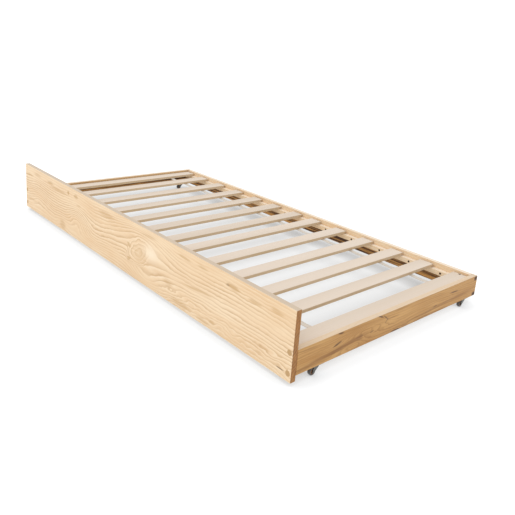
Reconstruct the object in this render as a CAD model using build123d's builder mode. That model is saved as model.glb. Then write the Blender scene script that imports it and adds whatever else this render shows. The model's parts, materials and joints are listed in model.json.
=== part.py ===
from build123d import *
import os

# Trundle bed: a slatted pine frame on four small swivel casters.

# Frame: +X along the length, the tall front panel at -Y, +Z up. The origin is on the floor,
# below the middle of the bed. All sizes are in millimetres.

# --- driving dimensions ---------------------------------------------------------------
bed_length = 1905.0
bed_width = 990.0
board = 20.0
board_ease = 1.5

caster_height = 31.0
rail_height = 80.0
panel_height = 220.0
panel_gap = 13.0

slat_width = 60.0
slat_thickness = 12.5
slat_recess = 9.5
slat_play = 3.0
slat_ease = 1.5
slat_corner = 3.0
slat_setting = 2.5
# Centre to centre from the left end. The slats are set out by hand, so the steps are uneven.
slat_pitches = [140, 160, 160, 155, 145, 150, 125, 155, 155, 155, 145, 150]

cleat_size = 20.0
cleat_ease = 1.0

tape_width = 22.0
tape_thickness = 1.2
tape_spread = 318.0
tape_tail = 18.0

staple_crown = 12.0
staple_wire = 1.0
staple_leg = 8.0

plug_radius = 9.0
plug_depth = 5.0
plug_inset = 13.0
pan_head_radius = 5.5
pan_head_height = 3.0
pan_crown = 0.8  # share of the head radius that is flat on top
pan_shoulder = 0.4  # share of the head height where it turns in
countersink_angle = 90.0

screw_radius = 2.0
screw_head_radius = 4.5
long_screw = 55.0
cleat_screw = 34.0
slat_screw = 26.0
plate_screw = 14.0
plate_screw_radius = 1.6
plate_screw_head = 3.2
screw_inset = 8.0
recess_depth = 1.4
recess_width = 1.0

# --- casters --------------------------------------------------------------------------
caster_inset = 13.0
front_caster_y = -384.0
back_caster_y = 426.0
trail = 12.0

plate_length = 56.0
plate_width = 22.0
plate_thickness = 1.6
plate_corner = 4.0
plate_screw_spacing = 44.0

washer_radius = 8.5
washer_thickness = 1.1
kingpin_radius = 3.0
kingpin_head_radius = 5.0
kingpin_head_height = 1.8
running_gap = 0.06
end_gap = 0.1

wheel_radius = 12.5
hub_rim_radius = 9.0
tyre_width = 11.0
tyre_round = 2.0
hub_width = 12.4
hub_boss_radius = 4.5
hub_web = 5.0
hub_rim = 1.6
axle_radius = 2.0
axle_head_radius = 3.2
axle_head_height = 1.2

fork_metal = 1.6
fork_inside = 13.0
fork_length = 18.0
fork_skirt = 4.0
fork_eye_radius = 4.5
fork_bend = 1.2

# --- worked out -----------------------------------------------------------------------
half_length = bed_length / 2
half_width = bed_width / 2
rail_top = caster_height + rail_height
slat_top = rail_top - slat_recess
slat_bottom = slat_top - slat_thickness
tape_bottom = slat_bottom - tape_thickness
cleat_bottom = slat_bottom - cleat_size

panel_inner = -half_width + board
back_inner = half_width - board
end_inner = half_length - board
end_rail_length = bed_width - board
end_rail_y = board / 2
inner_length = bed_length - 2 * board
inner_width = bed_width - 2 * board
slat_length = inner_width - 2 * slat_play
cleat_y = back_inner - cleat_size / 2
cleat_middle = cleat_bottom + cleat_size / 2
screw_heights = (rail_top - screw_inset, caster_height + screw_inset)

slat_xs = [-end_inner + slat_setting + slat_width / 2]
for pitch in slat_pitches:
    slat_xs.append(slat_xs[-1] + pitch)
gap_xs = [(near + far) / 2 for near, far in zip(slat_xs, slat_xs[1:])]

plate_bottom = caster_height - plate_thickness
washer_bottom = plate_bottom - washer_thickness
fork_top = washer_bottom - end_gap
fork_floor = fork_top - fork_metal
kingpin_head_top = fork_floor - end_gap
fork_outside = fork_inside + 2 * fork_metal

standing = (Align.CENTER, Align.CENTER, Align.MIN)
hanging = (Align.CENTER, Align.CENTER, Align.MAX)

os.makedirs("parts", exist_ok=True)


def save(builder, node):
    """Label a finished piece and write it as its own STEP file."""
    builder.part.label = node
    export_step(builder.part, f"parts/{node}.step")


# --- fasteners, drawn once with the head's top at the origin and the shank going down --
def countersunk_screw(shank_radius, head_radius, length):
    """A countersunk wood screw with a cross recess in its head."""
    cone = head_radius - shank_radius
    with BuildPart() as screw:
        with BuildSketch(Plane.XZ):
            with BuildLine():
                Polyline(
                    (0, 0),
                    (head_radius, 0),
                    (shank_radius, -cone),
                    (shank_radius, -length + shank_radius),
                    (0, -length),
                    close=True,
                )
            make_face()
        revolve(axis=Axis.Z)
        Box(head_radius, recess_width, recess_depth, align=hanging, mode=Mode.SUBTRACT)
        Box(recess_width, head_radius, recess_depth, align=hanging, mode=Mode.SUBTRACT)
    return screw.part


def pan_screw(shank_radius, head_radius, head_height, length):
    """A pan-head wood screw. Its head stands above the origin and its shank goes down."""
    with BuildPart() as screw:
        with BuildSketch(Plane.XZ):
            with BuildLine():
                Polyline(
                    (0, head_height),
                    (head_radius * pan_crown, head_height),
                    (head_radius, head_height * pan_shoulder),
                    (head_radius, 0),
                    (shank_radius, 0),
                    (shank_radius, -length + shank_radius),
                    (0, -length),
                    close=True,
                )
            make_face()
        revolve(axis=Axis.Z)
        with Locations((0, 0, head_height)):
            Box(head_radius, recess_width, recess_depth, align=hanging, mode=Mode.SUBTRACT)
            Box(recess_width, head_radius, recess_depth, align=hanging, mode=Mode.SUBTRACT)
    return screw.part


wood_screw = countersunk_screw(screw_radius, screw_head_radius, long_screw)
short_screw = countersunk_screw(screw_radius, screw_head_radius, cleat_screw)
top_screw = countersunk_screw(screw_radius, screw_head_radius, slat_screw)
plugged_screw = pan_screw(screw_radius, pan_head_radius, pan_head_height, long_screw)
caster_screw = pan_screw(plate_screw_radius, plate_screw_head, plate_screw_radius, plate_screw)

# Where each kind of fastener sits. A tilt turns the fastener's own -Z, the way it is driven.
panel_holes = [
    Location((x, -half_width, z), (90, 0, 0))
    for x in (-half_length + plug_inset, half_length - plug_inset)
    for z in screw_heights
]
left_end_holes = [
    Location((-half_length, half_width - board / 2, z), (0, -90, 0)) for z in screw_heights
]
right_end_holes = [
    Location((half_length, half_width - board / 2, z), (0, 90, 0)) for z in screw_heights
]
back_cleat_holes = [
    Location((x, back_inner - cleat_size, cleat_middle), (90, 0, 0)) for x in gap_xs
]
front_cleat_holes = [
    Location((x, panel_inner + cleat_size, cleat_middle), (-90, 0, 0)) for x in gap_xs
]


# --- the frame's boards ---------------------------------------------------------------
with BuildPart() as front_panel:
    with BuildSketch(Plane.XY.offset(panel_gap)):
        with Locations((0, -half_width + board / 2)):
            Rectangle(bed_length, board)
    extrude(amount=panel_height)
    fillet(front_panel.edges(), board_ease)
    with Locations(*panel_holes):
        CounterBoreHole(
            radius=screw_radius,
            counter_bore_radius=plug_radius,
            counter_bore_depth=plug_depth + pan_head_height,
            depth=board,
        )
save(front_panel, "front_panel")

for side, holes in ((-1, left_end_holes), (1, right_end_holes)):
    with BuildPart() as end_rail:
        with BuildSketch(Plane.XY.offset(caster_height)):
            with Locations((side * (half_length - board / 2), end_rail_y)):
                Rectangle(board, end_rail_length)
        extrude(amount=rail_height)
        fillet(end_rail.edges(), board_ease)
        with Locations(*holes):
            CounterSinkHole(
                radius=screw_radius,
                counter_sink_radius=screw_head_radius,
                counter_sink_angle=countersink_angle,
                depth=board,
            )
    save(end_rail, "left_end_rail" if side < 0 else "right_end_rail")

with BuildPart() as back_rail:
    with BuildSketch(Plane.XY.offset(caster_height)):
        with Locations((0, half_width - board / 2)):
            Rectangle(inner_length, board)
    extrude(amount=rail_height)
    fillet(back_rail.edges().filter_by(Axis.X), board_ease)
save(back_rail, "back_rail")

for side, holes in ((-1, front_cleat_holes), (1, back_cleat_holes)):
    with BuildPart() as cleat:
        with BuildSketch(Plane.XY.offset(cleat_bottom)):
            with Locations((0, side * cleat_y)):
                Rectangle(inner_length, cleat_size)
        extrude(amount=cleat_size)
        fillet(cleat.edges().filter_by(Axis.X), cleat_ease)
        with Locations(*holes):
            CounterSinkHole(
                radius=screw_radius,
                counter_sink_radius=screw_head_radius,
                counter_sink_angle=countersink_angle,
                depth=cleat_size,
            )
    save(cleat, "front_cleat" if side < 0 else "back_cleat")

# --- the slats ------------------------------------------------------------------------
for number, x in enumerate(slat_xs, start=1):
    with BuildPart() as slat:
        with BuildSketch(Plane.XY.offset(slat_bottom)):
            with Locations((x, 0)):
                RectangleRounded(slat_width, slat_length, slat_corner)
        extrude(amount=slat_thickness)
        fillet(slat.faces().sort_by(Axis.Z)[-1].edges(), slat_ease)
        fillet(slat.faces().sort_by(Axis.Z)[0].edges(), slat_ease)
        if number in (1, len(slat_xs)):
            with Locations((x, -cleat_y, slat_top), (x, cleat_y, slat_top)):
                CounterSinkHole(
                    radius=screw_radius,
                    counter_sink_radius=screw_head_radius,
                    counter_sink_angle=countersink_angle,
                    depth=slat_thickness,
                )
    save(slat, f"slat_{number:02d}")

# --- the webbing tapes under the slats, and their staples -----------------------------
tape_length = slat_xs[-1] - slat_xs[0] + 2 * tape_tail
tape_x = (slat_xs[0] + slat_xs[-1]) / 2
for side in (-1, 1):
    with BuildPart() as tape:
        with BuildSketch(Plane.XY.offset(tape_bottom)):
            with Locations((tape_x, side * tape_spread)):
                Rectangle(tape_length, tape_width)
        extrude(amount=tape_thickness)
    save(tape, "front_tape" if side < 0 else "back_tape")

with BuildPart() as staple:
    Box(staple_crown, staple_wire, staple_wire, align=hanging)
    with Locations((-staple_crown / 2, 0, 0), (staple_crown / 2, 0, 0)):
        Cylinder(staple_wire / 2, staple_leg + staple_wire, align=standing)
    with Locations((-staple_crown / 2, 0, 0), (staple_crown / 2, 0, 0)):
        Cylinder(staple_wire / 2, staple_wire, align=hanging)

with BuildPart() as tape_staples:
    with Locations(*[(x, y, tape_bottom) for x in slat_xs for y in (-tape_spread, tape_spread)]):
        add(staple.part)
save(tape_staples, "tape_staples")

# --- screws and plugs -----------------------------------------------------------------
with BuildPart() as panel_plugs:
    with Locations(*panel_holes):
        Cylinder(plug_radius, plug_depth, align=hanging)
save(panel_plugs, "panel_plugs")

with BuildPart() as panel_screws:
    with Locations(*[hole * Pos(0, 0, -plug_depth - pan_head_height) for hole in panel_holes]):
        add(plugged_screw)
save(panel_screws, "panel_screws")

with BuildPart() as back_rail_screws:
    with Locations(*left_end_holes, *right_end_holes):
        add(wood_screw)
save(back_rail_screws, "back_rail_screws")

with BuildPart() as cleat_screws:
    with Locations(*front_cleat_holes, *back_cleat_holes):
        add(short_screw)
save(cleat_screws, "cleat_screws")

with BuildPart() as slat_screws:
    with Locations(*[(x, y, slat_top) for x in (slat_xs[0], slat_xs[-1]) for y in (-cleat_y, cleat_y)]):
        add(top_screw)
save(slat_screws, "slat_screws")

# --- the casters ----------------------------------------------------------------------
caster_places = {
    "left_front": (-half_length + caster_inset, front_caster_y),
    "left_back": (-half_length + caster_inset, back_caster_y),
    "right_front": (half_length - caster_inset, front_caster_y),
    "right_back": (half_length - caster_inset, back_caster_y),
}
plate_holes = [
    (x, y + end * plate_screw_spacing / 2) for x, y in caster_places.values() for end in (-1, 1)
]

with BuildPart() as caster_screws:
    with Locations(*[Location((x, y, plate_bottom), (180, 0, 0)) for x, y in plate_holes]):
        add(caster_screw)
save(caster_screws, "caster_screws")

for place, (x, y) in caster_places.items():
    axle_y = y - trail
    wheel_plane = Plane(origin=(x, axle_y, wheel_radius), x_dir=(1, 0, 0), z_dir=(0, -1, 0))
    axle_line = Axis((x, axle_y, wheel_radius), (1, 0, 0))

    with BuildPart() as plate:
        with BuildSketch(Plane.XY.offset(plate_bottom)):
            with Locations((x, y)):
                RectangleRounded(plate_width, plate_length, plate_corner)
                Circle(kingpin_radius, mode=Mode.SUBTRACT)
                with GridLocations(0, plate_screw_spacing, 1, 2):
                    Circle(plate_screw_radius, mode=Mode.SUBTRACT)
        extrude(amount=plate_thickness)
    save(plate, f"{place}_plate")

    with BuildPart() as washer:
        with BuildSketch(Plane.XY.offset(washer_bottom)):
            with Locations((x, y)):
                Circle(washer_radius)
                Circle(kingpin_radius + running_gap, mode=Mode.SUBTRACT)
        extrude(amount=washer_thickness)
    save(washer, f"{place}_washer")

    with BuildPart() as kingpin:
        with BuildSketch(Plane.XY.offset(kingpin_head_top - kingpin_head_height)):
            with Locations((x, y)):
                Circle(kingpin_head_radius)
        extrude(amount=kingpin_head_height)
        fillet(kingpin.faces().sort_by(Axis.Z)[0].edges(), kingpin_head_height / 2)
        with BuildSketch(Plane.XY.offset(kingpin_head_top)):
            with Locations((x, y)):
                Circle(kingpin_radius)
        extrude(amount=caster_height - kingpin_head_top)
    save(kingpin, f"{place}_kingpin")

    # One strip of steel bent into a U: a flat top and two cheeks that taper to the axle.
    with BuildPart() as fork:
        with BuildSketch(Plane.YZ.offset(x - fork_outside / 2)):
            with Locations((y, fork_top - fork_skirt / 2)):
                Rectangle(fork_length, fork_skirt)
            with Locations((axle_y, wheel_radius)):
                Circle(fork_eye_radius)
            make_hull()
        extrude(amount=fork_outside)
        fillet(fork.edges().filter_by(Axis.Y).group_by(Axis.Z)[-1], fork_bend)
        with BuildSketch(Plane.XY.offset(fork_floor)):
            with Locations((x, y)):
                Rectangle(fork_inside, 2 * fork_length + 2 * trail)
        extrude(amount=-fork_floor, mode=Mode.SUBTRACT)
        with BuildSketch(Plane.XY.offset(fork_top)):
            with Locations((x, y)):
                Circle(kingpin_radius + running_gap)
        extrude(amount=-fork_metal, mode=Mode.SUBTRACT)
        with BuildSketch(Plane.YZ.offset(x - fork_outside / 2)):
            with Locations((axle_y, wheel_radius)):
                Circle(axle_radius)
        extrude(amount=fork_outside, mode=Mode.SUBTRACT)
    save(fork, f"{place}_fork")

    with BuildPart() as axle:
        with BuildSketch(Plane.YZ.offset(x - fork_outside / 2)):
            with Locations((axle_y, wheel_radius)):
                Circle(axle_radius)
        extrude(amount=fork_outside)
        for side in (-1, 1):
            with BuildSketch(Plane.YZ.offset(x + side * fork_outside / 2)):
                with Locations((axle_y, wheel_radius)):
                    Circle(axle_head_radius)
            extrude(amount=side * axle_head_height)
        ends = axle.faces().filter_by(Axis.X).sort_by(Axis.X)
        fillet([ends[0].edge(), ends[-1].edge()], axle_head_height / 2)
    save(axle, f"{place}_axle")

    with BuildPart() as hub:
        with BuildSketch(wheel_plane):
            with BuildLine():
                Polyline(
                    (0, axle_radius + running_gap),
                    (hub_width / 2, axle_radius + running_gap),
                    (hub_width / 2, hub_boss_radius),
                    (hub_web / 2, hub_boss_radius),
                    (hub_web / 2, hub_rim_radius - hub_rim),
                    (tyre_width / 2, hub_rim_radius - hub_rim),
                    (tyre_width / 2, hub_rim_radius),
                    (0, hub_rim_radius),
                )
                mirror(about=Plane.YZ)
            make_face()
        revolve(axis=axle_line)
    save(hub, f"{place}_hub")

    with BuildPart() as tyre:
        with BuildSketch(wheel_plane) as tread:
            with Locations((0, (hub_rim_radius + wheel_radius) / 2)):
                Rectangle(tyre_width, wheel_radius - hub_rim_radius)
            fillet(tread.vertices().group_by(Axis.Y)[-1], tyre_round)
        revolve(axis=axle_line)
    save(tyre, f"{place}_tyre")
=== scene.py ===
import json
import math
import bpy
from mathutils import Euler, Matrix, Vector

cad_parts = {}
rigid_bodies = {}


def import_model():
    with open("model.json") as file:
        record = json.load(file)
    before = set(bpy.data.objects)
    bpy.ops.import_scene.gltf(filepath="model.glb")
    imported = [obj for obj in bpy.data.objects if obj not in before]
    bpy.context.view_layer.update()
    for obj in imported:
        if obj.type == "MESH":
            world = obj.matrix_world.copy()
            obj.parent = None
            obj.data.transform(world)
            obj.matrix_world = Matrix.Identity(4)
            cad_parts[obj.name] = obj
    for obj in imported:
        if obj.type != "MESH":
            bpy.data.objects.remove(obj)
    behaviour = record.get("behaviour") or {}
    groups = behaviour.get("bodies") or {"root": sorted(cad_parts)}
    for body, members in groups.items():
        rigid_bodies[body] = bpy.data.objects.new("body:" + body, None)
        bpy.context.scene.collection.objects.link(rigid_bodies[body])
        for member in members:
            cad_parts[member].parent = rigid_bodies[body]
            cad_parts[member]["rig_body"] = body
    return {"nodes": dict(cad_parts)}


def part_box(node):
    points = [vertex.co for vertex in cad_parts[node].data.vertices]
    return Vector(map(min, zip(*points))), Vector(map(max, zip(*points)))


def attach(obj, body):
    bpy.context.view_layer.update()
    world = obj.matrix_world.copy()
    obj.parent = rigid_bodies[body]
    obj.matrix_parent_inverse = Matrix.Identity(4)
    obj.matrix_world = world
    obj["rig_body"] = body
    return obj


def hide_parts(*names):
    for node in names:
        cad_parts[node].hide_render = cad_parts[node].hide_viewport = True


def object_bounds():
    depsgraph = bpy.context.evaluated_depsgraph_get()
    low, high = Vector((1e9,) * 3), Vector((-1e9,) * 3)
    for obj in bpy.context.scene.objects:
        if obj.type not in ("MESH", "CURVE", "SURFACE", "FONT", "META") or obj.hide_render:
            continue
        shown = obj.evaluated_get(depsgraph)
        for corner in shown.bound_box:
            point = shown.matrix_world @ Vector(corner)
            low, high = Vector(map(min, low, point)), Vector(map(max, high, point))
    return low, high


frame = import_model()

cadLow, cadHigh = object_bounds()
nodes = frame["nodes"]
print("frame loaded", len(nodes), "nodes")


# ---------- camera, light and floor

camera = {
    "place": (1.9283, -1.5630, 0.9366),
    "turn": (75.196, -4.182, 48.659),  # degrees, with the slight roll of a hand-levelled shot
    "lens": 41.33,
    "shiftY": -0.131,
}
light = {
    "world": 0.905,
    "sun": 1.15,
    "sunFrom": (-0.46, -0.34, 0.82),
    "sunSpread": 60,  # degrees, as wide as a big softbox
}
floor = {
    "reach": 60.0,
    "tone": (0.24, 0.255, 0.27),
    "open": 0.95, "contactShadowGlow": 0.30,  # glow of the floor in the open, and the lower glow right beside a piece: a painted contact shadow
    "near": 0.10,  # metres over which a piece's painted contact shadow darkens the floor's glow
    "under": 0.43,  # share of the glow taken away under the bed: a painted shadow
    "shade": 0.10, "beyond": 0.17,  # soft border of that, and how far it reaches past the bed
    "grit": (300.0, 0.01),
    "rough": 0.9,
}
backdrop = 1.05  # brightness of what the camera sees behind the floor


def makeCamera(c):
    lens = bpy.data.cameras.new("camera")
    lens.lens = c["lens"]
    lens.sensor_width = 36
    lens.shift_y = c["shiftY"]
    seen = bpy.data.objects.new("camera", lens)
    seen.location = c["place"]
    seen.rotation_euler = Euler([math.radians(a) for a in c["turn"]])
    bpy.context.collection.objects.link(seen)
    bpy.context.scene.camera = seen


makeCamera(camera)
bpy.context.scene.view_settings.view_transform = "Standard"


class Wire:  # one output of a node, with sums written as plain expressions
    def __init__(self, tree, socket=None):
        self.tree = tree
        self.socket = socket

    def add(self, kind, settings, values, out=0):
        made = self.tree.nodes.new("ShaderNode" + kind)
        for name, value in settings.items():
            if name == "stops":
                ramp = made.color_ramp.elements
                while len(ramp) < len(value):
                    ramp.new(0.5)
                for stop, (place, tone) in zip(ramp, value):
                    stop.position = place
                    stop.color = (tone, tone, tone, 1)
            else:
                setattr(made, name, value)
        for key, value in values.items():
            if isinstance(value, Wire):
                self.tree.links.new(value.socket, made.inputs[key])
            else:
                made.inputs[key].default_value = value
        return Wire(self.tree, made.outputs[out])

    def maths(self, operation, *terms):
        return self.add("Math", {"operation": operation}, dict(enumerate(terms)))

    def __add__(self, other):
        return self.maths("ADD", self, other)

    def __radd__(self, other):
        return self.maths("ADD", other, self)

    def __sub__(self, other):
        return self.maths("SUBTRACT", self, other)

    def __rsub__(self, other):
        return self.maths("SUBTRACT", other, self)

    def __mul__(self, other):
        return self.maths("MULTIPLY", self, other)

    def __rmul__(self, other):
        return self.maths("MULTIPLY", other, self)

    def __truediv__(self, other):
        return self.maths("DIVIDE", self, other)

    def __rtruediv__(self, other):
        return self.maths("DIVIDE", other, self)

    def __pow__(self, other):
        return self.maths("POWER", self, other)

    def __rpow__(self, other):
        return self.maths("POWER", other, self)

    def __abs__(self):
        return self.maths("ABSOLUTE", self)

    def sine(self):
        return self.maths("SINE", self)

    def clipped(self):
        return self.maths("MINIMUM", self.maths("MAXIMUM", self, 0.0), 1.0)

    def rise(self, low, high):  # 0 below low, 1 above high, smooth between
        return self.add(
            "MapRange",
            {"interpolation_type": "SMOOTHSTEP"},
            {"Value": self, "From Min": low, "From Max": high},
        )

    def noise(self, scale, detail=2.0, rough=0.5):  # self is a place, the answer is -0.5 to 0.5
        made = self.add(
            "TexNoise",
            {"noise_dimensions": "3D"},
            {"Vector": self, "Scale": scale, "Detail": detail, "Roughness": rough},
        )
        return made - 0.5

    def stretched(self, x, y, z, shift=(0.0, 0.0, 0.0)):
        scaled = {0: self, 1: (x, y, z), 2: shift}
        return self.add("VectorMath", {"operation": "MULTIPLY_ADD"}, scaled)

    def blend(self, first, second):  # self is the share of the second colour
        return self.add("Mix", {"data_type": "RGBA"}, {0: self, 6: first, 7: second}, 2)


def colour(red, green, blue):
    return (red, green, blue, 1.0)


def grey(tone):
    return colour(tone, tone, tone)


def newFinish(name, shine):
    made = bpy.data.materials.new(name)
    made.use_nodes = True
    tree = made.node_tree
    shader = tree.nodes["Principled BSDF"]
    for socket, value in shine.items():
        shader.inputs[socket].default_value = value

    def feed(socket, wire):
        tree.links.new(wire.socket, shader.inputs[socket])

    return made, Wire(tree), feed


def makeFloor(f):
    mesh = bpy.data.meshes.new("floor")
    r = f["reach"]
    mesh.from_pydata([(-r, -r, 0), (r, -r, 0), (r, r, 0), (-r, r, 0)], [], [(0, 1, 2, 3)])
    ground = bpy.data.objects.new("floor", mesh)
    bpy.context.collection.objects.link(ground)
    shine = {
        "Roughness": f["rough"],
        "Specular IOR Level": 0.0,
        "Base Color": colour(*f["tone"]),
        "Emission Strength": 1.0,
    }
    made, start, feed = newFinish("studioFloor", shine)
    # painted shadow: the floor's glow drops near each piece, by ambient occlusion, and under the
    # bed's footprint
    openness = start.add("AmbientOcclusion", {"samples": 12}, {"Distance": f["near"]}, "AO")
    fine, amount = f["grit"]
    grit = start.add("TexCoord", {}, {}, "Object").noise(fine, 2.0) * amount
    spotOnFloor = start.add("NewGeometry", {}, {}, "Position")
    x, y = (start.add("SeparateXYZ", {}, {0: spotOnFloor}, axis) for axis in "XY")
    beyond = f["beyond"] / 2  # the painted shadow reaches out a little past the back and the left end
    farX, farY = cadHigh.x + beyond, cadHigh.y + beyond
    underX = abs(x + beyond).rise(farX, farX - f["shade"])
    under = underX * abs(y - beyond).rise(farY, farY - f["shade"])
    share = (openness + grit - under * f["under"]).clipped()
    feed("Emission Color", share.blend(grey(f["contactShadowGlow"]), grey(f["open"])))
    mesh.materials.append(made)


def makeLight(s):
    world = bpy.data.worlds.new("studio")
    bpy.context.scene.world = world
    world.use_nodes = True
    tree = world.node_tree
    for node in list(tree.nodes):
        tree.nodes.remove(node)
    start = Wire(tree)
    seen = start.add("Background", {}, {"Color": grey(1), "Strength": backdrop})
    lit = start.add("Background", {}, {"Color": colour(0.98, 0.99, 1.0), "Strength": s["world"]})
    direct = start.add("LightPath", {}, {}, "Is Camera Ray")
    mixed = start.add("MixShader", {}, {0: direct, 1: lit, 2: seen})
    end = tree.nodes.new("ShaderNodeOutputWorld")
    tree.links.new(mixed.socket, end.inputs["Surface"])

    sun = bpy.data.lights.new("softbox", "SUN")
    sun.energy = s["sun"]
    sun.angle = math.radians(s["sunSpread"])
    sun.color = (1.0, 0.985, 0.96)
    lamp = bpy.data.objects.new("softbox", sun)
    lamp.rotation_euler = Vector(s["sunFrom"]).to_track_quat("Z", "Y").to_euler()
    bpy.context.collection.objects.link(lamp)


makeFloor(floor)
makeLight(light)
print("camera, light and floor made")


# ---------- wood
# A board's own place is (along the grain, down the face, through the board), in millimetres.
# Growth rings are contour lines of a height over the face: the distance down it, lifted by
# listed swells, spread apart round the eyes, and pushed about by noise. The same field runs
# through the board, so its ends show end grain. In grain, a stretch is how fast a noise changes
# along, down and through the board.

grain = {
    "drift": (0.0017, 0.011, 0.006), "ripple": (0.012, 0.03, 0.03), "jitter": (0.05, 0.09, 0.05),
    "rugged": (0.016, 0.026, 0.02), "wobble": (0.02, 0.028, 0.02), "wobbles": 26.0,
    "lumps": (0.0035, 0.02, 0.02), "fibre": (0.022, 1.1, 1.1), "streak": (0.006, 0.16, 0.16),
    "blotch": (0.004, 0.014, 0.014), "pins": (0.004, 0.011, 0.011), "veins": (0.05, 0.05, 0.22),
    "dirtAndShade": (0.004, 0.13, 0.1), "pinShare": 0.75, "paintedTopShadingMottle": 0.35, "depth": 0.0004,
}


def boardPlace(start, axes, origin, way):
    place = start.add("TexCoord", {}, {}, "Object")
    split = [start.add("SeparateXYZ", {}, {0: place}, axis) for axis in "XYZ"]
    picked = [(split["xyz".index(a)] - o) * (1000.0 * w) for a, o, w in zip(axes, origin, way)]
    return start.add("CombineXYZ", {}, dict(enumerate(picked)))


def part(place, axis):
    return place.add("SeparateXYZ", {}, {0: place}, axis)


def spot(place, at, size, slope=0.0):  # a soft oval, 1 in the middle
    u, v = at
    a, b = size
    if slope:
        leant = part(place, "Y") - (part(place, "X") - u) * slope
        place = place.add("CombineXYZ", {}, {0: part(place, "X"), 1: leant})
    near = place.stretched(1 / a, 1 / b, 0.0, (-u / a, -v / b, 0.0))
    far = near.add("VectorMath", {"operation": "DOT_PRODUCT"}, {0: near, 1: near}, "Value")
    return math.exp(-1) ** far


def facing(start, axis):  # how squarely the surface faces that way
    out = start.add("TexCoord", {}, {}, "Normal")
    return part(out, axis.upper())


def tinted(body, tint):
    settings = {"data_type": "RGBA", "blend_type": "MULTIPLY"}
    return body.add("Mix", settings, {0: 1.0, 6: body, 7: tint}, 2)


def ringHeight(place, w):
    down = part(place, "Y")
    drift = place.stretched(*grain["drift"], w["cut"]).noise(1.0, 3.0) * w["drift"]
    ripple = place.stretched(*grain["ripple"], w["cut"]).noise(1.0, 2.0) * w["ripple"]
    jitter = place.stretched(*grain["jitter"], w["cut"]).noise(1.0, 2.0) * w["jitter"]
    height = down + part(place, "Z") * w["lean"] + drift + ripple + jitter
    if "rugged" in w:
        r = w["rugged"]
        share = part(place, "X").rise(*r["from"]) * down.rise(*r["below"])
        height = height + share * place.stretched(*grain["rugged"]).noise(1.0, 2.0) * r["height"]
    for at, size, lift in w["swells"]:
        height = height + spot(place, at, size) * lift
    for eye in w["eyes"]:
        (u, v), squash = eye["at"], eye["squash"]
        spread = 1 - spot(place, eye["at"], eye["spread"]) * eye["share"]
        height = (height - v) * spread + v
        across = (part(place, "X") - u) * squash
        sloping = down - v - (part(place, "X") - u) * eye["slope"]
        core = place.add("CombineXYZ", {}, {0: across, 1: sloping})
        wobble = place.stretched(*grain["wobble"], w["cut"]).noise(1.0, 2.0) * grain["wobbles"]
        rim = core.add("VectorMath", {"operation": "LENGTH"}, {0: core}, "Value") + wobble
        inside = 1 - rim.rise(*eye["core"])
        height = height + inside * (rim * eye["rate"] + eye["depth"] - height)
    return height


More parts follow.
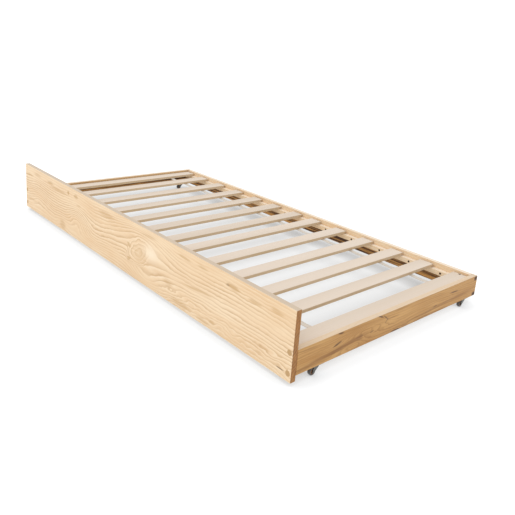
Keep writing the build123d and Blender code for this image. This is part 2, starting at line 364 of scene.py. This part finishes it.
def wood(name, axes, origin, w, way=(1, 1, 1)):
    made, start, feed = newFinish(name, {"Specular IOR Level": w["gloss"]})
    place = boardPlace(start, axes, origin, way)

    # rings
    ring = ringHeight(place, w) / w["ring"]
    turn = ring.maths("FRACT", ring)
    late = turn.add("ValToRGB", {"stops": w["profile"]}, {0: turn})
    lumpy = place.stretched(*grain["lumps"], w["cut"]).noise(1.0, 2.0) * 2.4 + 0.72
    late = late * lumpy.clipped()
    for at, size, share in w["quiet"]:
        late = late * (1 - spot(place, at, size) * share)

    # fibres and blotches
    fibre = place.stretched(*grain["fibre"]).noise(1.0, 3.0, 0.6)
    streak = place.stretched(*grain["streak"], w["cut"]).noise(1.0, 3.0, 0.6)
    blotch = place.stretched(*grain["blotch"], w["cut"]).noise(1.0, 2.0)
    mixed = streak * w["streaky"] + blotch * w["blotchy"] + 0.5
    body = mixed.clipped().blend(w["pale"], w["warm"])
    if "glow" in w:  # early wood, palest just past each dark line
        body = ((1 - turn.rise(0.0, 0.4)) * lumpy.clipped() * w["glow"]).blend(body, w["light"])
    for at, size, share in w.get("lights", []):
        body = (spot(place, at, size) * share).blend(body, w["light"])
    body = (late * w["ringDepth"]).clipped().blend(body, w["late"])
    for at, size, slope, share in w["stains"]:
        rough = (spot(place, at, size, slope) * (1 + streak * 3.0)).rise(0.1, 0.8)
        body = (rough * share).blend(body, w["stain"])
    for at, size, slope, share in w["knots"]:
        rough = (spot(place, at, size, slope) * (1 + fibre * 2.0)).rise(0.15, 0.6)
        body = (rough * share).blend(body, w["knot"])
    if "wild" in w:  # pin knots scattered over a set of boards
        cells = place.stretched(*grain["pins"], w["cut"])
        pins = cells.add("TexVoronoi", {}, {"Vector": cells, "Scale": 1.0}, "Distance")
        dots = (1 - pins.rise(w["wild"] * 0.4, w["wild"])) * grain["pinShare"]
        body = dots.blend(body, w["knot"])
    fibrous = (fibre * w["fibrous"] + 0.5).clipped()
    body = tinted(body, fibrous.blend(w["fibreDark"], w["fibreLight"]))

    # end grain is darker, and an upper face gets painted shading, a tint for how light falls on
    # top faces
    veins = place.stretched(*grain["veins"], w["cut"]).noise(1.0, 3.0, 0.6)
    veined = (veins * 2.6 + late * 0.5 + 0.25).clipped()
    grainEnd = tinted(body, veined.blend(w["endTint"], w["endVein"]))
    body = abs(facing(start, axes[0])).rise(0.5, 0.9).blend(body, grainEnd)
    if "paintedShadeTint" in w:  # painted shade: a darker, streaky strip along the foot of the inner face, where the slats and cleat overhang it
        inward = (facing(start, axes[2]) * w["inward"]).rise(0.5, 0.9)
        lines = place.stretched(*grain["dirtAndShade"], w["cut"]).noise(1.0, 2.0, 0.6)
        paintedShadeStreaks = (lines * 5.0 + 0.55).clipped().blend(w["paintedShadeTint"], w["paintedShadeDark"])
        body = (inward * part(place, "Y").rise(*w["under"])).blend(body, paintedShadeStreaks)
    # painted shading: faces turned upward are blended toward the top tint, mottled by the grain
    if "paintedTopShadingTint" in w:
        top = facing(start, "z").rise(0.4, 0.9) * w["paintedTopShadingShare"]
        left = (late * 0.5 + streak * 1.4 + 0.25).clipped() * grain["paintedTopShadingMottle"]
        body = top.blend(body, left.blend(w["paintedTopShadingTint"], w["pale"]))
    if "tones" in w:  # each board of a set has its own tone
        tone = (part(place, "Y") * w["tones"]).sine() * 0.5 + 0.5
        body = tinted(body, tone.blend(w["toneDark"], w["fibreLight"]))
    feed("Base Color", body)
    feed("Roughness", w["rough"] + fibre * 0.14 + late * 0.06)
    relief = late * 0.45 + fibre * 1.1
    bump = {"Strength": w["bump"], "Distance": grain["depth"], "Height": relief}
    feed("Normal", relief.add("Bump", {}, bump))
    return made


ringProfile = [(0.0, 0.02), (0.48, 0.08), (0.8, 0.75), (0.91, 1.0), (1.0, 0.02)]
plainBoard = {"swells": [], "eyes": [], "quiet": [], "stains": [], "knots": []}

panelWood = {
    **plainBoard,
    "cut": (3.1, 0.4, 7.7), "jitter": 5.0,
    "drift": 30.0, "ripple": 12.0, "lean": 0.8, "ring": 12.5, "profile": ringProfile,
    "ringDepth": 0.72, "glow": 0.5, "streaky": 1.2, "blotchy": 1.6, "fibrous": 1.0,
    "pale": colour(0.835, 0.64, 0.42), "warm": colour(0.74, 0.50, 0.28),
    "late": colour(0.47, 0.27, 0.11), "stain": colour(0.52, 0.31, 0.12),
    "knot": colour(0.20, 0.11, 0.05), "light": colour(0.90, 0.76, 0.58),
    "fibreDark": colour(0.93, 0.92, 0.90), "fibreLight": colour(1.0, 1.0, 1.0),
    "endTint": colour(0.50, 0.30, 0.11), "endVein": colour(0.26, 0.13, 0.032),
    "paintedTopShadingTint": colour(0.49, 0.405, 0.32), "paintedTopShadingShare": 0.85,
    "gloss": 0.35, "rough": 0.46, "bump": 0.3,
    "rugged": {"from": (1180, 1320), "below": (140, 175), "height": 40.0},
    "swells": [  # place, size and lift: the rings arch over these
        ((150, 95), (95, 75), 11), ((175, 140), (90, 45), 17), ((20, 120), (60, 90), -3),
        ((570, 95), (95, 80), 15), ((580, 138), (80, 42), 36), ((760, 120), (110, 70), -16),
        ((700, 165), (150, 50), -16), ((1130, 48), (150, 48), 44), ((1008, 142), (70, 36), 26),
        ((1225, 190), (150, 42), -30), ((1130, 188), (85, 46), -30), ((1650, 110), (260, 120), 9),
        ((430, 190), (60, 40), 16),
    ],
    "eyes": [{
        "at": (1088, 105), "spread": (200, 74), "share": 0.78,
        "squash": 0.66, "slope": -0.3, "core": (44, 64), "rate": 0.86, "depth": 58.0,
    }],
    "quiet": [  # place, size and share: the rings fade here
        ((950, -4), (5000, 40), 0.85), ((110, 200), (260, 26), 0.75), ((760, 205), (330, 34), 0.7),
        ((1172, 82), (46, 34), 0.9), ((1600, 205), (420, 36), 0.62), ((1098, 130), (50, 24), 0.8),
        ((1088, 106), (17, 15), 0.8),
    ],
    "lights": [((1172, 84), (48, 30), 0.75), ((1600, 120), (420, 60), 0.2)],
    "stains": [
        ((46, 45), (56, 5), -0.06, 1.0), ((150, 27), (46, 8), 0.0, 0.45),
        ((300, 28), (34, 7), -0.1, 0.6), ((390, 43), (85, 6), 0.0, 0.5),
        ((490, 28), (9, 8), 0.0, 0.9), ((565, 27), (18, 9), 0.0, 0.65),
        ((840, 34), (60, 12), 0.0, 0.4), ((427, 190), (30, 17), 0.0, 0.5),
        ((1020, 97), (13, 8), 0.4, 0.6), ((1020, 152), (16, 9), -0.3, 0.6),
        ((1100, 118), (50, 36), 0.0, 0.28), ((1160, 24), (60, 6), -0.06, 0.4),
        ((1385, 28), (38, 7), 0.08, 0.45), ((1485, 28), (32, 7), 0.1, 0.42),
        ((1640, 36), (30, 10), 0.1, 0.65), ((1740, 42), (30, 6), 0.0, 0.5),
        ((1832, 33), (26, 9), 0.1, 0.38), ((1465, 112), (90, 5), -0.1, 0.55),
        ((1290, 150), (30, 11), 0.0, 0.4), ((1545, 192), (14, 9), 0.0, 0.5),
        ((1365, 198), (50, 13), 0.0, 0.4), ((1500, 205), (36, 8), 0.0, 0.4),
        ((60, 165), (70, 7), 0.0, 0.3), ((590, 62), (20, 4), 0.0, 0.4),
    ],
    "knots": [((1613, 36), (8, 4), 0.0, 0.45), ((1859, 194), (17, 1.8), 0.0, 0.9)],
}

# darker colours than the back and left rails: the right rail's outer face turns away from the
# light, and that shade is painted into these colours
shadedRailWood = {
    **plainBoard,
    "cut": (11.3, 5.1, 2.9), "jitter": 6.0,
    "drift": 60.0, "ripple": 10.0, "lean": 0.7, "ring": 9.0, "profile": ringProfile,
    "ringDepth": 0.6, "streaky": 1.9, "blotchy": 1.8, "fibrous": 0.9,
    "pale": colour(0.61, 0.35, 0.122), "warm": colour(0.44, 0.212, 0.055),
    "late": colour(0.25, 0.105, 0.025), "stain": colour(0.24, 0.10, 0.024),
    "knot": colour(0.09, 0.035, 0.012),
    "fibreDark": colour(0.90, 0.88, 0.85), "fibreLight": colour(1.0, 1.0, 1.0),
    "endTint": colour(0.80, 0.72, 0.62), "endVein": colour(0.55, 0.42, 0.30),
    "paintedTopShadingTint": colour(0.71, 0.58, 0.435), "paintedTopShadingShare": 0.85,
    # painted shade: below this depth the inner face darkens, under the slats
    "under": (22.0, 24.0), "inward": -1.0,
    "paintedShadeTint": colour(0.60, 0.31, 0.09), "paintedShadeDark": colour(0.07, 0.024, 0.004),
    "gloss": 0.3, "rough": 0.48, "bump": 0.3,
}

rightRailWood = {
    **shadedRailWood,
    "swells": [((325, 24), (100, 26), 44), ((262, 62), (60, 16), 20), ((760, 46), (220, 26), 12)],
    "stains": [
        ((100, 62), (140, 8), -0.06, 0.6), ((235, 50), (90, 7), -0.12, 0.6),
        ((292, 48), (18, 9), 0.0, 0.55), ((740, 58), (240, 6), -0.035, 0.55),
        ((640, 75), (200, 5), 0.0, 0.4), ((510, 6), (60, 3), 0.0, 0.45),
        ((460, 24), (36, 2.2), 0.0, 0.6), ((60, 12), (60, 5), 0.05, 0.35),
    ],
    "knots": [
        ((188, 36), (18, 3.2), -0.25, 0.85), ((200, 4), (12, 3), 0.1, 0.8),
        ((392, 5), (14, 2.6), 0.35, 0.85), ((418, 14), (12, 2.6), 0.7, 0.7),
        ((425, 27), (9, 2.2), -0.8, 0.6), ((480, 77), (26, 3.5), 0.0, 0.85),
        ((830, 28), (26, 2.6), 0.03, 0.8), ((712, 53), (12, 2.5), -0.1, 0.6),
        ((352, 44), (9, 2.5), -0.2, 0.6), 
        ((978, 8), (11, 10), 0.0, 0.95), ((978, 72), (11, 10), 0.0, 0.95),
    ],
}

slatWood = {
    **plainBoard,
    "cut": (5.7, 3.3, 1.9), "jitter": 3.0,
    "drift": 60.0, "ripple": 3.0, "lean": 1.6, "ring": 9.0, "profile": ringProfile,
    "ringDepth": 0.3, "streaky": 1.0, "blotchy": 1.6, "fibrous": 0.8,
    "pale": colour(0.72, 0.56, 0.39), "warm": colour(0.62, 0.46, 0.28),
    "late": colour(0.36, 0.23, 0.11), "knot": colour(0.28, 0.16, 0.08),
    "fibreDark": colour(0.92, 0.90, 0.88), "fibreLight": colour(1.0, 1.0, 1.0),
    "paintedTopShadingTint": colour(0.69, 0.605, 0.53), "paintedTopShadingShare": 0.88,
    "endTint": colour(0.95, 0.68, 0.42), "endVein": colour(0.62, 0.40, 0.22),
    "toneDark": colour(0.92, 0.91, 0.89), "tones": 0.0377,
    "gloss": 0.15, "rough": 0.62, "bump": 0.35, "wild": 0.085,
}
backRailWood = {
    **shadedRailWood,
    "cut": (6.6, 2.2, 9.4), "under": (40.0, 43.0), "ringDepth": 0.3,
    "pale": colour(0.90, 0.73, 0.52), "warm": colour(0.83, 0.61, 0.38),
    "late": colour(0.55, 0.35, 0.18), "paintedTopShadingTint": colour(0.76, 0.65, 0.54),
}
cleatWood = {**backRailWood, "cut": (2.8, 9.2, 0.4), "ringDepth": 0.2}
cleatWood.pop("paintedShadeTint")
plugWood = {
    **slatWood,
    "pale": colour(0.56, 0.37, 0.19), "warm": colour(0.48, 0.30, 0.14),
    "late": colour(0.34, 0.19, 0.08), "ring": 3.0, "ringDepth": 0.5,
}
for skipped in ("wild", "paintedTopShadingTint", "tones"):
    plugWood.pop(skipped)

down = (1, -1, 1)
low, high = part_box("front_panel")
panelFinish = wood("panelPine", "xzy", (low.x, high.z, low.y), panelWood, down)
low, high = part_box("right_end_rail")
rightRailFinish = wood("rightRailShadedPine", "yzx", (cadLow.y, high.z, high.x), rightRailWood, down)
low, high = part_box("left_end_rail")
leftRailWood = {
    **backRailWood, "cut": (1.2, 8.8, 4.1), "inward": 1.0, "under": (22.0, 24.0),
    "pale": colour(0.74, 0.51, 0.27), "warm": colour(0.62, 0.39, 0.165),
    "late": colour(0.40, 0.21, 0.08), "ringDepth": 0.45,
    "knots": [
        ((960, 8), (9, 8), 0.0, 0.92), ((960, 72), (9, 8), 0.0, 0.92),
        ((310, 50), (14, 5), 0.1, 0.8),
    ],
}
leftRailFinish = wood("leftRailPine", "yzx", (low.y, high.z, low.x), leftRailWood, down)
low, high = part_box("back_rail")
backRailFinish = wood("backRailPine", "xzy", (low.x, high.z, low.y), backRailWood, down)
cleatFinish = wood("cleatPine", "xzy", (low.x, high.z, low.y), cleatWood, down)
low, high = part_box("slat_01")
slatFinish = wood("slatWood", "yxz", (low.y, low.x, low.z), slatWood)
low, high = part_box("panel_plugs")
plugFinish = wood("plugPine", "xzy", (low.x, low.z, low.y), plugWood)
print("wood made")


# ---------- metal, rubber, plastic and webbing

zinc = {
    "dark": colour(0.07, 0.07, 0.065), "light": colour(0.24, 0.235, 0.22),
    "rough": 0.36,
}
screwBrown = {
    "dark": colour(0.024, 0.010, 0.003), "light": colour(0.10, 0.045, 0.015),
    "rough": 0.55,
}
stapleSteel = {
    "dark": colour(0.35, 0.35, 0.34), "light": colour(0.62, 0.62, 0.61),
    "rough": 0.32,
}
rubber = {
    "dark": colour(0.055, 0.053, 0.052), "light": colour(0.13, 0.125, 0.12),
    "rough": 0.62, "gloss": 0.35,
}
nylon = {
    "dark": colour(0.16, 0.075, 0.035), "light": colour(0.30, 0.16, 0.085),
    "rough": 0.4, "gloss": 0.5,
}


def metal(name, m):
    made, start, feed = newFinish(name, {"Metallic": 1.0})
    place = start.add("TexCoord", {}, {}, "Object")
    spangle = place.noise(260.0, 3.0, 0.6)
    scuff = place.noise(900.0, 2.0, 0.5)
    mottled = (spangle * 1.6 + scuff * 0.8 + 0.5).clipped()
    feed("Base Color", mottled.blend(m["dark"], m["light"]))
    feed("Roughness", m["rough"] + scuff * 0.22)
    dents = spangle * 0.5 + scuff * 0.5
    feed("Normal", dents.add("Bump", {}, {"Strength": 0.25, "Distance": 0.0003, "Height": dents}))
    return made


def moulded(name, m):
    made, start, feed = newFinish(name, {"Specular IOR Level": m["gloss"]})
    place = start.add("TexCoord", {}, {}, "Object")
    cloud = place.noise(180.0, 3.0, 0.6)
    skin = place.noise(2600.0, 2.0, 0.5)
    feed("Base Color", (cloud * 1.3 + skin * 0.4 + 0.5).clipped().blend(m["dark"], m["light"]))
    feed("Roughness", m["rough"] + skin * 0.2 + cloud * 0.1)
    feed("Normal", skin.add("Bump", {}, {"Strength": 0.2, "Distance": 0.0002, "Height": skin}))
    return made


webbing = {
    "thread": 0.0014, "pale": colour(0.68, 0.61, 0.53), "dark": colour(0.50, 0.44, 0.37),
    "sag": 0.0025, "step": 0.005, "across": 10, "edge": 0.35, "rough": 0.85, "sheen": 0.3,
}


def woven(name, w):  # a plain weave: threads go over and under
    made, start, feed = newFinish(name, {"Specular IOR Level": 0.1, "Sheen Weight": w["sheen"]})
    place = start.add("TexCoord", {}, {}, "Object")
    turns = 2 * math.pi / w["thread"]
    warp = (part(place, "Y") * turns).sine()
    weft = (part(place, "X") * turns).sine()
    weave = warp * weft * 0.5 + 0.5
    fuzz = place.noise(2400.0, 3.0, 0.7)
    dirtAndShade = place.stretched(9.0, 60.0, 30.0).noise(1.0, 3.0)
    clean = (weave * 0.5 + fuzz * 0.8 + dirtAndShade * 0.9 + 0.2).clipped()
    feed("Base Color", clean.blend(w["dark"], w["pale"]))
    feed("Roughness", w["rough"] + fuzz * 0.2)
    lay = weave + fuzz
    feed("Normal", lay.add("Bump", {}, {"Strength": 0.5, "Distance": 0.0003, "Height": lay}))
    return made


slatNames = sorted(n for n in nodes if n[:5] == "slat_" and n[5:].isdigit())


def makeTape(name, cadNode, finish, w):  # dips a little between slats, and thins at its edges
    low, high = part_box(cadNode)
    slats = [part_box(slat) for slat in slatNames]
    steps = round((high.x - low.x) / w["step"])
    xs = [low.x + (high.x - low.x) * i / steps for i in range(steps + 1)]
    thick = high.z - low.z
    points, faces = [], []
    ring = 2 * w["across"]
    for x in xs:
        drop = 0.0
        for (_, left), (right, _) in zip(slats, slats[1:]):
            if left.x < x < right.x:
                t = (x - left.x) / (right.x - left.x)
                drop = w["sag"] * math.sin(math.pi * t) ** 2
        for k in range(ring):
            t = (k + 0.5) / w["across"]
            top = t < 1
            y = low.y + (high.y - low.y) * (t if top else 2 - t)
            rim = abs(2 * (y - low.y) / (high.y - low.y) - 1) ** 8
            z = (high.z if top else low.z) - drop + (-1 if top else 1) * thick * w["edge"] * rim
            points.append((x, y, z))
    for i in range(steps):
        for k in range(ring):
            a, b = i * ring + k, i * ring + (k + 1) % ring
            faces.append((a, b, b + ring, a + ring))
    faces.append(tuple(range(ring))[::-1])
    faces.append(tuple(steps * ring + k for k in range(ring)))
    mesh = bpy.data.meshes.new(name)
    mesh.from_pydata(points, [], faces)
    mesh.validate()
    mesh.materials.append(finish)
    strip = bpy.data.objects.new(name, mesh)
    bpy.context.collection.objects.link(strip)
    for face in mesh.polygons[:-2]:
        face.use_smooth = True
    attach(strip, nodes[cadNode]["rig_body"])
    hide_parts(cadNode)


tapeFinish = woven("cottonWebbing", webbing)
makeTape("frontWebbing", "front_tape", tapeFinish, webbing)
makeTape("backWebbing", "back_tape", tapeFinish, webbing)
print("webbing made")

zincFinish = metal("zincPlate", zinc)
screwFinish = metal("bronzedScrew", screwBrown)
stapleFinish = metal("stapleWire", stapleSteel)
tyreFinish = moulded("tyreRubber", rubber)
hubFinish = moulded("hubNylon", nylon)

finishOf = {
    "front_panel": panelFinish, "right_end_rail": rightRailFinish, "left_end_rail": leftRailFinish,
    "back_rail": backRailFinish, "front_cleat": cleatFinish, "back_cleat": cleatFinish,
    "panel_plugs": plugFinish, "tape_staples": stapleFinish, "caster_screws": zincFinish,
}
finishByEnd = {
    "_screws": screwFinish, "_plate": zincFinish, "_washer": zincFinish, "_kingpin": zincFinish,
    "_fork": zincFinish, "_axle": zincFinish, "_hub": hubFinish, "_tyre": tyreFinish,
}


def finishFor(node):
    if node in finishOf:
        return finishOf[node]
    for end, finish in finishByEnd.items():
        if node.endswith(end):
            return finish
    return slatFinish


for node, piece in nodes.items():
    finish = finishFor(node)
    if not piece.material_slots:
        piece.data.materials.append(finish)
    for held in piece.material_slots:
        held.material = finish
print("finishes given")
